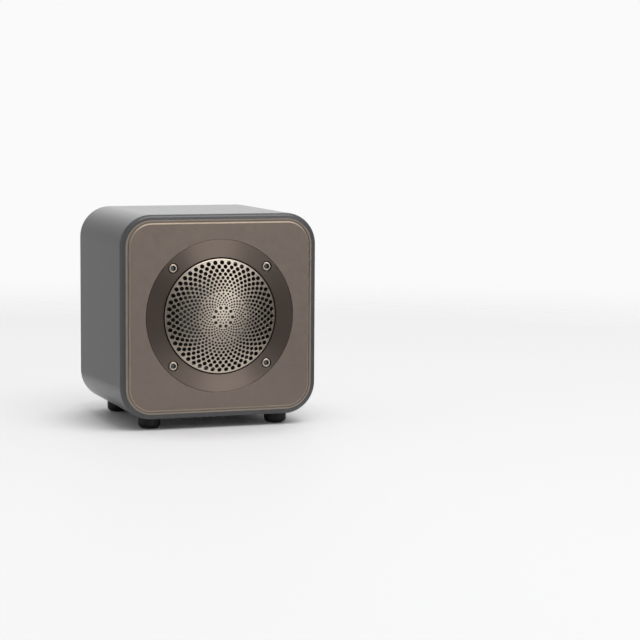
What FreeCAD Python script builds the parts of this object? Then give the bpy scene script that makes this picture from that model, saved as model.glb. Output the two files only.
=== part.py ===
"""Portable wireless speaker.

A square aluminium cabinet stands on four rubber feet. Its bronze front panel carries a turned
trim ring, a domed perforated grille and one full-range driver. The buttons and the charging
socket are on the rear panel. Millimetres, +Z up, the front faces -Y, and the origin lies on the
floor below the middle of the object.
"""
import FreeCAD
import Part
import math
import os
from FreeCAD import Vector

# Cabinet: an extruded tube with round corners
cabinet_width = 90.0
cabinet_height = 90.0
shell_length = 75.0
corner_radius = 14.0
wall = 2.1
rim_round = 2.0
rim_land = 0.05
panel_clearance = 0.1

# Front panel: a flat lip, a groove and a raised field with a polished chamfer
lip_thickness = 2.0
lip_width = 0.9
groove_width = 0.45
groove_depth = 0.3
field_rise = 0.6
field_chamfer = 0.6

# Trim ring, flush with the raised field
ring_radius = 33.8
ring_bore = 25.95
ring_gap = 0.1
ring_chamfer = 0.25

# Grille: a pressed dome with a short wall and a flange that the ring clamps
grille_radius = 25.4
grille_sheet = 0.6
grille_flange_width = 2.0
grille_flange_thickness = 0.8
grille_clearance = 0.2
dome_rise = 4.5
dome_step = 0.2

# Perforations: a rosette, fine rings and coarse rings, each ring turned half a pitch from the next
pattern_turn = 1.4
rosette_radii = (0.0, 1.38, 2.61, 4.2)
rosette_counts = (1, 6, 12, 10)
rosette_holes = (0.72, 0.76, 0.8, 1.5)
fine_holes = 30
fine_rings = 6
fine_first_radius = 5.62
fine_pitch = 0.942
fine_first_hole = 0.72
fine_hole_growth = 0.05
coarse_holes = 48
coarse_rings = 9
coarse_first_radius = 11.68
coarse_first_pitch = 1.28
coarse_pitch_growth = 0.065
coarse_first_hole = 1.04
coarse_hole_growth = 0.112
# Holes narrower than this are left to the surface finish, and cut holes have this many sides
smallest_cut_hole = 0.8
hole_sides = 4

# Socket screws of the ring, with nuts behind the driver's tabs
screw_spacing = 43.0
ring_screw = dict(head_radius=1.9, head_height=1.9, shank_radius=1.0, length=8.0, key=2.0)
screw_head_gap = 0.4
screw_hole_gap = 0.15
key_depth = 1.0
nut_width = 4.0
nut_height = 1.6
thread_gap = 0.05

# Baffle behind the front panel, held to the shell's screw channels
baffle_thickness = 3.0
baffle_opening_gap = 0.3
cabinet_screw = dict(head_radius=2.25, head_height=1.8, shank_radius=1.25, length=9.0, key=2.0)
channel_radius = 3.6
channel_overlap = 0.3
pilot_depth = 12.0

# Driver, measured from its axis and from the front of its basket flange
driver_gasket_thickness = 0.5
basket_radius = 27.0
basket_sheet = 1.0
basket_depth = 12.4
basket_shelf_radius = 14.6
basket_throat_radius = 8.2
basket_tab_radius = 3.4
basket_windows = 4
basket_window_width = 13.0
spider_depth = 9.4
spider_seat = 2.2
spider_sheet = 0.3
spider_waves = 3
spider_wave_height = 0.6
surround_radius = 24.0
surround_land = 2.1
surround_sheet = 0.4
roll_radius = 1.95
cone_rim = 1.0
cone_depth = 6.0
cone_sheet = 0.5
dust_cap_radius = 8.6
dust_cap_rise = 2.6
dust_cap_sheet = 0.4
former_bore = 6.7
former_sheet = 0.2
former_length = 11.0
former_overlap = 0.8
winding_thickness = 0.45
winding_length = 4.5
glue_gap = 0.05
air_gap = 0.35
top_plate_radius = 16.0
top_plate_thickness = 2.5
magnet_radius = 17.5
magnet_bore = 9.6
magnet_thickness = 6.0
yoke_radius = 16.0
yoke_thickness = 2.5
pole_proud = 0.5
vent_radius = 2.0
terminal_length = 10.0
terminal_width = 9.0
terminal_thickness = 0.8
tag_spacing = 4.0
tag_width = 2.0
tag_thickness = 0.4

# Feet, pushed into holes in the cabinet's bottom
foot_height = 5.0
foot_radius = 5.0
foot_round = 2.2
foot_side_inset = 15.6
foot_front_inset = 10.6
foot_rear_inset = 10.5
spigot_radius = 2.0
spigot_gap = 0.1
spigot_head_radius = 2.6
spigot_head_height = 1.4

# Rear panel
rear_recess = 1.5
rear_thickness = 3.0
rear_gasket_thickness = 0.8
rear_gasket_width = 7.5
pocket_width = 58.0
pocket_height = 36.0
pocket_corner = 6.0
pocket_depth = 0.8

# Buttons on the rear panel and the switches that they press
button_row = 8.0
button_spacing = 18.0
button_radius = 4.5
button_gap = 0.3
button_proud = 1.2
button_edge = 0.4
button_flange_width = 1.2
button_flange_thickness = 1.0
button_stem_radius = 1.6
button_travel = 0.4
switch_width = 6.0
switch_height = 3.5
plunger_radius = 1.75
plunger_height = 1.2
plunger_gap = 0.3
plunger_seat_depth = 0.6

# Charging socket and status light
socket_row = -10.0
socket_width = 8.94
socket_height = 3.26
socket_sheet = 0.3
socket_cavity = 6.5
socket_sink = 0.4
socket_gap = 0.3
tongue_width = 6.7
tongue_thickness = 0.7
tongue_sink = 0.8
light_row = -2.0
light_radius = 1.0
light_gap = 0.05
light_flange_width = 0.8
light_flange_thickness = 0.8
light_chip_gap = 0.3
chip_width = 2.0
chip_height = 0.8

# Main board on posts of the rear panel
board_width = 72.0
board_height = 44.0
board_corner = 2.0
board_thickness = 1.6
board_standoff = 9.0
post_radius = 2.6
post_inset = 3.5
post_gap = 0.3
board_screw = dict(head_radius=1.9, head_height=1.4, shank_radius=0.9, length=6.0, key=1.3)
board_screw_gap = 0.1
post_pilot_depth = 5.5

# Pieces on the front of the main board: middle in x and z, width, height and thickness
module_place = (-16.0, 8.0)
module_size = (13.0, 18.0, 0.8)
shield_drop = 2.5
shield_size = (11.0, 12.0, 1.8)
amplifier_place = (2.0, 8.0)
amplifier_size = (6.0, 6.0, 1.0)
charger_place = (2.0, -8.0)
charger_size = (5.0, 4.4, 1.1)
inductor_places = ((11.0, 12.0), (11.0, 4.0))
inductor_size = (6.0, 6.0, 3.2)
inductor_corner = 1.2
capacitor_places = ((-14.0, -12.0), (-6.0, -12.0), (-22.0, -12.0))
capacitor_radius = 3.15
capacitor_length = 7.7
connector_size = (7.5, 5.0, 5.5)
speaker_connector_place = (22.0, 0.0)

# Battery cell in a cradle taped to the cabinet floor
cell_radius = 9.15
cell_length = 50.0
battery_setback = 41.0
cradle_length = 40.0
cradle_depth = 21.0
cradle_base = 1.6
cradle_saddle = 5.0
cell_gap = 0.15
tape_thickness = 0.8
guard_width = 14.0
guard_height = 12.0
guard_thickness = 1.5

# Leads inside the cabinet
lead_radius = 0.6
speaker_lead_turn = 30.0
battery_lead_bend = 8.0

# Places that follow from the sizes
half_width = cabinet_width / 2
half_height = cabinet_height / 2
axis_height = foot_height + half_height
total_depth = dome_rise + dome_step + field_rise + shell_length
y_crown = -total_depth / 2
y_rim = y_crown + dome_rise
y_field = y_rim + dome_step
y_shell_front = y_field + field_rise
y_shell_back = y_shell_front + shell_length
y_panel_back = y_shell_front + lip_thickness
y_baffle_back = y_panel_back + baffle_thickness
y_basket = y_baffle_back + driver_gasket_thickness
y_top_plate = y_basket + basket_depth
y_magnet = y_top_plate + top_plate_thickness
y_yoke = y_magnet + magnet_thickness
y_rear_face = y_shell_back - rear_recess
y_rear_inner = y_rear_face - rear_thickness
y_rear_gasket = y_rear_inner - rear_gasket_thickness
y_pocket = y_rear_face - pocket_depth
y_board = y_rear_inner - board_standoff
y_board_front = y_board - board_thickness
y_connector = y_board_front - connector_size[2]
panel_inset = wall + panel_clearance
ring_screw_places = [(sx * screw_spacing / 2, sz * screw_spacing / 2) for sx in (-1, 1) for sz in (-1, 1)]
channel_reach = (corner_radius - wall - channel_radius + channel_overlap) / math.sqrt(2)
channel_x = half_width - corner_radius + channel_reach
channel_z = half_height - corner_radius + channel_reach
channel_places = [(sx * channel_x, sz * channel_z) for sx in (-1, 1) for sz in (-1, 1)]
post_x = board_width / 2 - post_inset
post_z = board_height / 2 - post_inset
post_places = [(sx * post_x, sz * post_z) for sx in (-1, 1) for sz in (-1, 1)]
flange_bore = surround_radius - surround_land
cone_radius = flange_bore - 2 * roll_radius
former_radius = former_bore + former_sheet
winding_radius = former_radius + glue_gap + winding_thickness
floor_z = wall - half_height
cell_z = floor_z + tape_thickness + cradle_base + cell_gap + cell_radius
cell_y = y_shell_front + battery_setback
guard_x = cell_length / 2 + guard_thickness / 2
battery_connector_place = (guard_x, cell_z + guard_height / 2 + battery_lead_bend)

ALONG_Y = Vector(0, 1, 0)
OVERCUT = 1.0
TINY = 1e-6


def at(x, y, z):
    """Point with z measured from the driver's axis."""
    return Vector(x, y, axis_height + z)


def outline(half_x, half_z, corner, y, x=0.0, z=0.0):
    """Closed wire of a rectangle with round corners, in the plane at y."""
    arcs = []
    for quarter, (sx, sz) in enumerate(((1, 1), (-1, 1), (-1, -1), (1, -1))):
        middle = at(x + sx * (half_x - corner), y, z + sz * (half_z - corner))
        rim = []
        for degrees in (0, 45, 90):
            turn = math.radians(90 * quarter + degrees)
            rim.append(middle + Vector(corner * math.cos(turn), 0, corner * math.sin(turn)))
        arcs.append(Part.Arc(*rim).toShape())
    sides = []
    for first, second in zip(arcs, arcs[1:] + arcs[:1]):
        start = first.Vertexes[-1].Point
        end = second.Vertexes[0].Point
        if start.distanceToPoint(end) > TINY:
            sides.append(Part.makeLine(start, end))
    return Part.Wire(Part.__sortEdges__(arcs + sides))


def slab(half_x, half_z, corner, y_from, y_to, x=0.0, z=0.0):
    """Plate with round corners between two depths."""
    face = Part.Face(outline(half_x, half_z, corner, y_from, x, z))
    return face.extrude(Vector(0, y_to - y_from, 0))


def inset_slab(inset, y_from, y_to):
    """Plate that follows the cabinet's outline, this far inside it."""
    return slab(half_width - inset, half_height - inset, corner_radius - inset, y_from, y_to)


def drum(radius, y_from, y_to, x=0.0, z=0.0):
    """Cylinder along the depth."""
    return Part.makeCylinder(radius, y_to - y_from, at(x, y_from, z), ALONG_Y)


def tube(outer, inner, y_from, y_to):
    """Round tube on the driver's axis."""
    return drum(outer, y_from, y_to).cut(drum(inner, y_from - OVERCUT, y_to + OVERCUT))


def block(width, height, y_from, y_to, x=0.0, z=0.0):
    """Box with its middle at x and z."""
    corner = at(x - width / 2, y_from, z - height / 2)
    return Part.makeBox(width, y_to - y_from, height, corner)


def turned(edges):
    """Solid of revolution about the driver's axis, from edges in the plane z = 0."""
    wire = Part.Wire(Part.__sortEdges__(edges))
    return Part.Face(wire).revolve(at(0, 0, 0), ALONG_Y, 360)


def runs(points):
    """Straight edges through (radius, y) points."""
    corners = [at(radius, y, 0) for radius, y in points]
    return [Part.makeLine(first, second) for first, second in zip(corners, corners[1:])]


def turned_polygon(points):
    """Solid of revolution of a closed polygon of (radius, y) points."""
    return turned(runs(points + points[:1]))


def cap_arc(sphere_radius, y_top, radius):
    """Arc of a dome's profile from its crown out to a radius."""
    def point(r):
        return at(r, y_top + sphere_radius - math.sqrt(sphere_radius ** 2 - r ** 2), 0)
    return Part.Arc(point(0), point(radius / 2), point(radius)).toShape()


def prism(sides, flat_width, y_from, y_to, x, z):
    """Prism of a regular polygon, such as a hexagon of this width across its flats."""
    circumradius = flat_width / 2 / math.cos(math.pi / sides)
    return polygon_prism(sides, circumradius, 0.0, y_from, y_to, x, z)


def polygon_prism(sides, circumradius, turn, y_from, y_to, x, z):
    """Prism of a regular polygon with one corner at this turn from upright."""
    corners = []
    for k in range(sides):
        angle = turn + 2 * math.pi * k / sides
        corners.append(at(x + circumradius * math.sin(angle), y_from, z + circumradius * math.cos(angle)))
    face = Part.Face(Part.makePolygon(corners + corners[:1]))
    return face.extrude(Vector(0, y_to - y_from, 0))


def span(y, step):
    """Depths from y to y + step, the smaller first."""
    return min(y, y + step), max(y, y + step)


def socket_screw(size, x, z, y_top, inward):
    """Socket-head screw with its head's face at y_top, driven along +Y (1) or -Y (-1)."""
    y_seat = y_top + inward * size["head_height"]
    head = drum(size["head_radius"], *span(y_top, inward * size["head_height"]), x, z)
    shank = drum(size["shank_radius"], *span(y_seat, inward * size["length"]), x, z)
    socket = prism(6, size["key"], *span(y_top, inward * key_depth), x, z)
    return head.fuse(shank).cut(socket)


def screw_hole(size, x, z, y_top, inward, gap):
    """Counterbore and clearance hole for a socket screw."""
    bore = drum(size["head_radius"] + gap, *span(y_top, inward * size["head_height"]), x, z)
    reach = inward * (size["head_height"] + size["length"])
    return bore.fuse(drum(size["shank_radius"] + screw_hole_gap, *span(y_top, reach), x, z))


def enclosure_shell():
    """Extruded tube with rounded rims, screw channels in its corners and holes for the feet."""
    body = inset_slab(0.0, y_shell_front, y_shell_back)
    rims = [edge for edge in body.Edges if edge.BoundBox.YLength < TINY]
    body = body.makeFillet(min(rim_round, wall - rim_land), rims)
    envelope = body.copy()
    body = body.cut(inset_slab(wall, y_shell_front - OVERCUT, y_shell_back + OVERCUT))
    for x, z in channel_places:
        body = body.fuse(drum(channel_radius, y_baffle_back, y_rear_gasket, x, z).common(envelope))
    pilot = cabinet_screw["shank_radius"] + thread_gap
    for x, z in channel_places:
        body = body.cut(drum(pilot, y_baffle_back, y_baffle_back + pilot_depth, x, z))
        body = body.cut(drum(pilot, y_rear_gasket - pilot_depth, y_rear_gasket, x, z))
    for place in foot_places().values():
        start = place + Vector(0, 0, foot_height - OVERCUT)
        body = body.cut(Part.makeCylinder(spigot_radius + spigot_gap, wall + 2 * OVERCUT, start))
    return body.removeSplitter()


def front_panel():
    """Bronze plate: lip, groove and a raised field with a chamfered edge round the ring's opening."""
    y_groove = y_shell_front + groove_depth
    field_inset = panel_inset + lip_width + groove_width
    field = inset_slab(field_inset, y_field, y_groove)
    front_edges = [edge for edge in field.Edges if edge.BoundBox.YMax < y_field + TINY]
    field = field.makeChamfer(field_chamfer, front_edges)
    plate = inset_slab(panel_inset, y_shell_front, y_panel_back)
    plate = plate.cut(inset_slab(panel_inset + lip_width, y_shell_front - OVERCUT, y_groove))
    opening = drum(ring_radius + ring_gap, y_field - OVERCUT, y_panel_back + OVERCUT)
    return plate.fuse(field).cut(opening).removeSplitter()


def trim_ring():
    """Turned ring with chamfered edges, a rabbet for the grille's flange and four counterbores."""
    y_rabbet = y_panel_back - grille_flange_thickness - panel_clearance
    rabbet_radius = grille_radius + grille_flange_width + grille_clearance
    ring = turned_polygon([
        (ring_bore, y_field + ring_chamfer),
        (ring_bore + ring_chamfer, y_field),
        (ring_radius - ring_chamfer, y_field),
        (ring_radius, y_field + ring_chamfer),
        (ring_radius, y_panel_back),
        (rabbet_radius, y_panel_back),
        (rabbet_radius, y_rabbet),
        (ring_bore, y_rabbet),
    ])
    for x, z in ring_screw_places:
        ring = ring.cut(screw_hole(ring_screw, x, z, y_field, 1, screw_head_gap))
    return ring


def perforation_rings():
    """Radius, number, width and half-pitch turn of every ring of holes, from the middle out."""
    rings = []
    for index, ring in enumerate(zip(rosette_radii, rosette_counts, rosette_holes)):
        rings.append((*ring, index % 2))
    for index in range(fine_rings):
        radius = fine_first_radius + index * fine_pitch
        rings.append((radius, fine_holes, fine_first_hole + index * fine_hole_growth, (index + 1) % 2))
    radius = coarse_first_radius
    for index in range(coarse_rings):
        rings.append((radius, coarse_holes, coarse_first_hole + index * coarse_hole_growth, index % 2))
        radius += coarse_first_pitch + index * coarse_pitch_growth
    return rings


def perforations():
    """Cutters for the holes, each as large in area as the round hole that it stands for."""
    cutters = []
    depths = (y_crown - OVERCUT, y_field + grille_sheet)
    fullness = math.sqrt(2 * math.pi / (hole_sides * math.sin(2 * math.pi / hole_sides)))
    for radius, count, width, half_turn in perforation_rings():
        if width < smallest_cut_hole:
            continue
        for index in range(count):
            angle = math.radians(pattern_turn) + 2 * math.pi * (index + half_turn / 2) / count
            x = radius * math.sin(angle)
            z = radius * math.cos(angle)
            cutters.append(polygon_prism(hole_sides, width / 2 * fullness, angle, *depths, x, z))
    return cutters


def grille():
    """Pressed steel dome with its rings of holes, short wall and clamped flange."""
    inner_radius = grille_radius - grille_sheet
    sphere = (grille_radius ** 2 + dome_rise ** 2) / (2 * dome_rise)
    hollow = sphere - grille_sheet
    y_inner = y_crown + sphere - math.sqrt(hollow ** 2 - inner_radius ** 2)
    flange_radius = grille_radius + grille_flange_width
    wall_and_flange = runs([
        (grille_radius, y_rim),
        (grille_radius, y_panel_back - grille_flange_thickness),
        (flange_radius, y_panel_back - grille_flange_thickness),
        (flange_radius, y_panel_back),
        (inner_radius, y_panel_back),
        (inner_radius, y_inner),
    ])
    dome = [cap_arc(sphere, y_crown, grille_radius), cap_arc(hollow, y_crown + grille_sheet, inner_radius)]
    middle = runs([(0.0, y_crown), (0.0, y_crown + grille_sheet)])
    return turned(dome + wall_and_flange + middle).cut(perforations())


def ring_screws():
    return [socket_screw(ring_screw, x, z, y_field, 1) for x, z in ring_screw_places]


def ring_nuts():
    nuts = []
    y_seat = y_basket + basket_sheet
    y_end = y_seat + nut_height
    hole = ring_screw["shank_radius"] + thread_gap
    for x, z in ring_screw_places:
        nut = prism(6, nut_width, y_seat, y_end, x, z)
        bore = drum(hole, y_seat - OVERCUT, y_end + OVERCUT, x, z)
        nuts.append(nut.cut(bore))
    return nuts


def front_baffle():
    """Moulded plate behind the front panel, with the driver's opening and all screw holes."""
    plate = inset_slab(panel_inset, y_panel_back, y_baffle_back)
    depths = (y_panel_back - OVERCUT, y_baffle_back + OVERCUT)
    plate = plate.cut(drum(surround_radius + baffle_opening_gap, *depths))
    for x, z in ring_screw_places:
        plate = plate.cut(drum(ring_screw["shank_radius"] + screw_hole_gap, *depths, x, z))
    for x, z in channel_places:
        plate = plate.cut(screw_hole(cabinet_screw, x, z, y_panel_back, 1, screw_head_gap))
    return plate


def baffle_screws():
    return [socket_screw(cabinet_screw, x, z, y_panel_back, 1) for x, z in channel_places]


def driver_gasket():
    return tube(basket_radius, surround_radius + baffle_opening_gap, y_baffle_back, y_basket)


def driver_basket():
    """Pressed frame: flange with four tabs, windowed cone, spider shelf and bottom plate."""
    shelf_y = y_basket + spider_depth
    shelf_end = basket_shelf_radius + spider_seat
    bottom_y = y_top_plate - basket_sheet
    basket = turned_polygon([
        (basket_radius, y_basket),
        (flange_bore, y_basket),
        (flange_bore, y_basket + basket_sheet),
        (shelf_end, shelf_y),
        (basket_shelf_radius, shelf_y),
        (basket_shelf_radius, bottom_y),
        (basket_throat_radius, bottom_y),
        (basket_throat_radius, y_top_plate),
        (basket_shelf_radius + basket_sheet, y_top_plate),
        (basket_shelf_radius + basket_sheet, shelf_y + basket_sheet),
        (shelf_end + basket_sheet, shelf_y + basket_sheet),
        (flange_bore + basket_sheet, y_basket + basket_sheet),
        (basket_radius, y_basket + basket_sheet),
    ])
    y_window = y_basket + 2 * basket_sheet
    window_end = shelf_y - basket_sheet
    window_z = basket_radius / 2 + spider_seat
    for index in range(basket_windows):
        opening = block(basket_window_width, basket_radius, y_window, window_end, 0.0, window_z)
        opening.rotate(at(0, 0, 0), ALONG_Y, 360 * index / basket_windows)
        basket = basket.cut(opening)
    flange_depths = (y_basket, y_basket + basket_sheet)
    hole_depths = (y_basket - OVERCUT, y_basket + basket_sheet + OVERCUT)
    bore = drum(flange_bore, *hole_depths)
    for x, z in ring_screw_places:
        tab = drum(basket_tab_radius, *flange_depths, x, z)
        arm_length = math.hypot(x, z)
        arm = block(2 * basket_tab_radius, arm_length, *flange_depths, 0.0, arm_length / 2)
        arm.rotate(at(0, 0, 0), ALONG_Y, math.degrees(math.atan2(x, z)))
        basket = basket.fuse(tab.fuse(arm).cut(bore))
    for x, z in ring_screw_places:
        basket = basket.cut(drum(ring_screw["shank_radius"] + screw_hole_gap, *hole_depths, x, z))
    return basket.removeSplitter()


def driver_surround():
    """Rubber half roll between two flat lands."""
    roll = cone_radius + roll_radius
    inner_roll = roll_radius - surround_sheet
    y_land = y_basket - surround_sheet
    crest = Part.Arc(
        at(cone_radius, y_land, 0),
        at(roll, y_land - roll_radius, 0),
        at(flange_bore, y_land, 0),
    )
    under = Part.Arc(
        at(roll - inner_roll, y_basket, 0),
        at(roll, y_basket - inner_roll, 0),
        at(roll + inner_roll, y_basket, 0),
    )
    edges = [crest.toShape(), under.toShape()]
    edges += runs([
        (flange_bore, y_land),
        (surround_radius, y_land),
        (surround_radius, y_basket),
        (roll + inner_roll, y_basket),
    ])
    inner_land = cone_radius - cone_rim
    edges += runs([
        (roll - inner_roll, y_basket),
        (inner_land, y_basket),
        (inner_land, y_land),
        (cone_radius, y_land),
    ])
    return turned(edges)


def cone_front(radius):
    """Depth of the cone's front face at a radius inside its flat rim."""
    rim = cone_radius - cone_rim
    neck = former_radius + glue_gap
    return y_basket + cone_depth * (rim - radius) / (rim - neck)


def driver_cone():
    rim = cone_radius - cone_rim
    neck = former_radius + glue_gap
    return turned_polygon([
        (cone_radius, y_basket),
        (rim, y_basket),
        (neck, cone_front(neck)),
        (neck, cone_front(neck) + cone_sheet),
        (rim, y_basket + cone_sheet),
        (cone_radius, y_basket + cone_sheet),
    ])


def dust_cap():
    """Shallow dome glued on the cone over the voice coil."""
    sphere = (dust_cap_radius ** 2 + dust_cap_rise ** 2) / (2 * dust_cap_rise)
    hollow = sphere - dust_cap_sheet
    y_edge = cone_front(dust_cap_radius) - glue_gap
    y_top = y_edge - dust_cap_rise
    hollow_edge = math.sqrt(hollow ** 2 - (sphere - dust_cap_rise) ** 2)
    edges = [cap_arc(sphere, y_top, dust_cap_radius), cap_arc(hollow, y_top + dust_cap_sheet, hollow_edge)]
    edges += runs([(dust_cap_radius, y_edge), (hollow_edge, y_edge)])
    edges += runs([(0.0, y_top), (0.0, y_top + dust_cap_sheet)])
    return turned(edges)


def voice_coil_former():
    y_from = cone_front(former_radius + glue_gap) - former_overlap
    return tube(former_radius, former_bore, y_from, y_from + former_length)


def voice_coil():
    y_from = y_top_plate + (top_plate_thickness - winding_length) / 2
    return tube(winding_radius, former_radius + glue_gap, y_from, y_from + winding_length)


def driver_spider():
    """Corrugated cloth disc from the former to the basket's shelf."""
    inner = former_radius + glue_gap
    outer = basket_shelf_radius + spider_seat - glue_gap
    y_back = y_basket + spider_depth
    ridge = (basket_shelf_radius - glue_gap - inner) / (2 * spider_waves)
    back = [(inner, y_back)]
    for index in range(1, 2 * spider_waves):
        back.append((inner + index * ridge, y_back - spider_wave_height * (index % 2)))
    back += [(basket_shelf_radius - glue_gap, y_back), (outer, y_back)]
    front = [(radius, y - spider_sheet) for radius, y in reversed(back)]
    return turned_polygon(back + front)


def top_plate():
    return tube(top_plate_radius, winding_radius + air_gap, y_top_plate, y_magnet)


def magnet():
    return tube(magnet_radius, magnet_bore, y_magnet, y_yoke)


def pole_yoke():
    """Back plate and pole in one piece, vented through the middle."""
    pole = drum(former_bore - air_gap, y_top_plate - pole_proud, y_yoke)
    yoke = pole.fuse(drum(yoke_radius, y_yoke, y_yoke + yoke_thickness))
    yoke = yoke.cut(drum(vent_radius, y_top_plate - pole_proud - OVERCUT, y_yoke + yoke_thickness + OVERCUT))
    return yoke.removeSplitter()


def driver_terminal():
    """Insulating strip on the back of the basket's flange."""
    y_from = y_basket + basket_sheet
    return block(terminal_length, terminal_width, y_from, y_from + terminal_thickness, terminal_x(), 0.0)


def terminal_x():
    """Middle of the terminal strip, which starts just outside the basket's cone."""
    return flange_bore + basket_sheet + panel_clearance + terminal_length / 2


def terminal_tags():
    y_from = y_basket + basket_sheet + terminal_thickness
    y_to = y_from + tag_thickness
    tags = []
    for side in (-1, 1):
        tags.append(block(terminal_length, tag_width, y_from, y_to, terminal_x(), side * tag_spacing / 2))
    return tags


def foot_places():
    """Floor point under each foot."""
    places = {}
    for end, y in (("front", y_shell_front + foot_front_inset), ("rear", y_shell_back - foot_rear_inset)):
        for side, sign in (("left", -1), ("right", 1)):
            places["foot_%s_%s" % (end, side)] = Vector(sign * (half_width - foot_side_inset), y, 0)
    return places


def foot(place):
    """Rubber foot with a rounded sole, and a spigot whose head snaps behind the cabinet's bottom."""
    top = foot_height + wall + spigot_gap
    sole = foot_radius - foot_round
    middle = foot_round * math.sqrt(0.5)
    profile = [
        (foot_radius, foot_round),
        (foot_radius, foot_height),
        (spigot_radius, foot_height),
        (spigot_radius, top),
        (spigot_head_radius, top),
        (spigot_radius, top + spigot_head_height),
        (0.0, top + spigot_head_height),
        (0.0, 0.0),
        (sole, 0.0),
    ]
    corners = [place + Vector(radius, 0, z) for radius, z in profile]
    bend = place + Vector(sole + middle, 0, foot_round - middle)
    edges = [Part.makeLine(first, second) for first, second in zip(corners, corners[1:])]
    edges.append(Part.Arc(corners[-1], bend, corners[0]).toShape())
    return Part.Face(Part.Wire(edges)).revolve(place, Vector(0, 0, 1), 360)


def button_places():
    """Middle of each rear button, named as seen from behind."""
    return {"volume_up": button_spacing, "power": 0.0, "volume_down": -button_spacing}


def rear_panel():
    """Moulded back with a shallow pocket for the controls and posts for the main board."""
    plate = inset_slab(panel_inset, y_rear_inner, y_rear_face)
    pocket_end = y_rear_face + OVERCUT
    plate = plate.cut(slab(pocket_width / 2, pocket_height / 2, pocket_corner, y_pocket, pocket_end))
    for x, z in channel_places:
        plate = plate.cut(screw_hole(cabinet_screw, x, z, y_rear_face, -1, screw_head_gap))
    depths = (y_rear_inner - OVERCUT, y_rear_face)
    for x in button_places().values():
        plate = plate.cut(drum(button_radius + button_gap, *depths, x, button_row))
    plate = plate.cut(socket_slab(socket_gap, *depths))
    plate = plate.cut(drum(light_radius + light_gap, *depths, 0.0, light_row))
    pilot = board_screw["shank_radius"] + thread_gap
    for x, z in post_places:
        plate = plate.fuse(drum(post_radius, y_board, y_rear_inner, x, z))
        plate = plate.cut(drum(pilot, y_board, y_board + post_pilot_depth, x, z))
    return plate.removeSplitter()


def rear_gasket():
    """Foam frame between the rear panel and the screw channels, clear of the board's posts."""
    depths = (y_rear_gasket - OVERCUT, y_rear_inner + OVERCUT)
    frame = inset_slab(panel_inset, y_rear_gasket, y_rear_inner)
    frame = frame.cut(inset_slab(panel_inset + rear_gasket_width, *depths))
    for x, z in channel_places:
        frame = frame.cut(drum(cabinet_screw["shank_radius"] + screw_hole_gap, *depths, x, z))
    for x, z in post_places:
        frame = frame.cut(drum(post_radius + post_gap, *depths, x, z))
    return frame


def rear_screws():
    return [socket_screw(cabinet_screw, x, z, y_rear_face, -1) for x, z in channel_places]


def y_plunger_top():
    """Depth at which a switch's plunger meets its button."""
    return y_board + switch_height + plunger_height


def button(x):
    """Round cap with a retaining flange and a stem that reaches the switch."""
    y_top = y_pocket + button_proud
    y_flange = y_rear_inner - button_flange_thickness
    cap = drum(button_radius, y_flange, y_top, x, button_row)
    rim = [edge for edge in cap.Edges if edge.BoundBox.YMin > y_top - TINY]
    cap = cap.makeFillet(button_edge, rim)
    flange = drum(button_radius + button_flange_width, y_flange, y_rear_inner, x, button_row)
    stem = drum(button_stem_radius, y_plunger_top(), y_rear_inner, x, button_row)
    return cap.fuse(flange).fuse(stem).removeSplitter()


def switch_plunger(x):
    y_foot = y_board + switch_height - plunger_seat_depth
    return drum(plunger_radius, y_foot, y_plunger_top(), x, button_row)


def button_switches():
    """Switch bodies on the board, each bored for its plunger's travel."""
    switches = []
    y_top = y_board + switch_height
    y_bore = y_top - plunger_seat_depth - button_travel - plunger_gap
    for x in button_places().values():
        body = block(switch_width, switch_width, y_board, y_top, x, button_row)
        bore = drum(plunger_radius + plunger_gap, y_bore, y_top + OVERCUT, x, button_row)
        switches.append(body.cut(bore))
    return switches


def socket_slab(grow, y_from, y_to):
    """Round-ended outline of the charging socket, grown by a clearance."""
    half_x = socket_width / 2 + grow
    half_z = socket_height / 2 + grow
    return slab(half_x, half_z, half_z, y_from, y_to, 0.0, socket_row)


def charging_socket():
    """Metal can of the socket, open to the rear."""
    y_mouth = y_pocket - socket_sink
    can = socket_slab(0.0, y_board, y_mouth)
    return can.cut(socket_slab(-socket_sheet, y_mouth - socket_cavity, y_mouth + OVERCUT))


def socket_tongue():
    y_mouth = y_pocket - socket_sink
    y_root = y_mouth - socket_cavity
    return block(tongue_width, tongue_thickness, y_root, y_mouth - tongue_sink, 0.0, socket_row)


def status_light():
    """Lamp chip on the board behind the light pipe."""
    return block(chip_width, chip_width, y_board, y_board + chip_height, 0.0, light_row)


def light_pipe():
    """Clear rod from the lamp chip to the pocket, with a flange inside the panel."""
    rod = drum(light_radius, y_board + chip_height + light_chip_gap, y_pocket, 0.0, light_row)
    flange_radius = light_radius + light_flange_width
    flange = drum(flange_radius, y_rear_inner - light_flange_thickness, y_rear_inner, 0.0, light_row)
    return rod.fuse(flange).removeSplitter()


def main_board():
    board = slab(board_width / 2, board_height / 2, board_corner, y_board_front, y_board)
    for x, z in post_places:
        hole = board_screw["shank_radius"] + board_screw_gap
        board = board.cut(drum(hole, y_board_front - OVERCUT, y_board + OVERCUT, x, z))
    return board


def board_screws():
    y_top = y_board_front - board_screw["head_height"]
    return [socket_screw(board_screw, x, z, y_top, 1) for x, z in post_places]


def on_board(place, size, lift=0.0):
    """Flat piece on the front of the main board."""
    y_back = y_board_front - lift
    return block(size[0], size[1], y_back - size[2], y_back, *place)


def radio_module():
    return on_board(module_place, module_size)


def radio_shield():
    place = (module_place[0], module_place[1] - shield_drop)
    return on_board(place, shield_size, module_size[2])


def filter_inductors():
    width, height, thickness = inductor_size
    y_from = y_board_front - thickness
    inductors = []
    for x, z in inductor_places:
        inductors.append(slab(width / 2, height / 2, inductor_corner, y_from, y_board_front, x, z))
    return inductors


def capacitors():
    y_from = y_board_front - capacitor_length
    return [drum(capacitor_radius, y_from, y_board_front, x, z) for x, z in capacitor_places]


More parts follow.
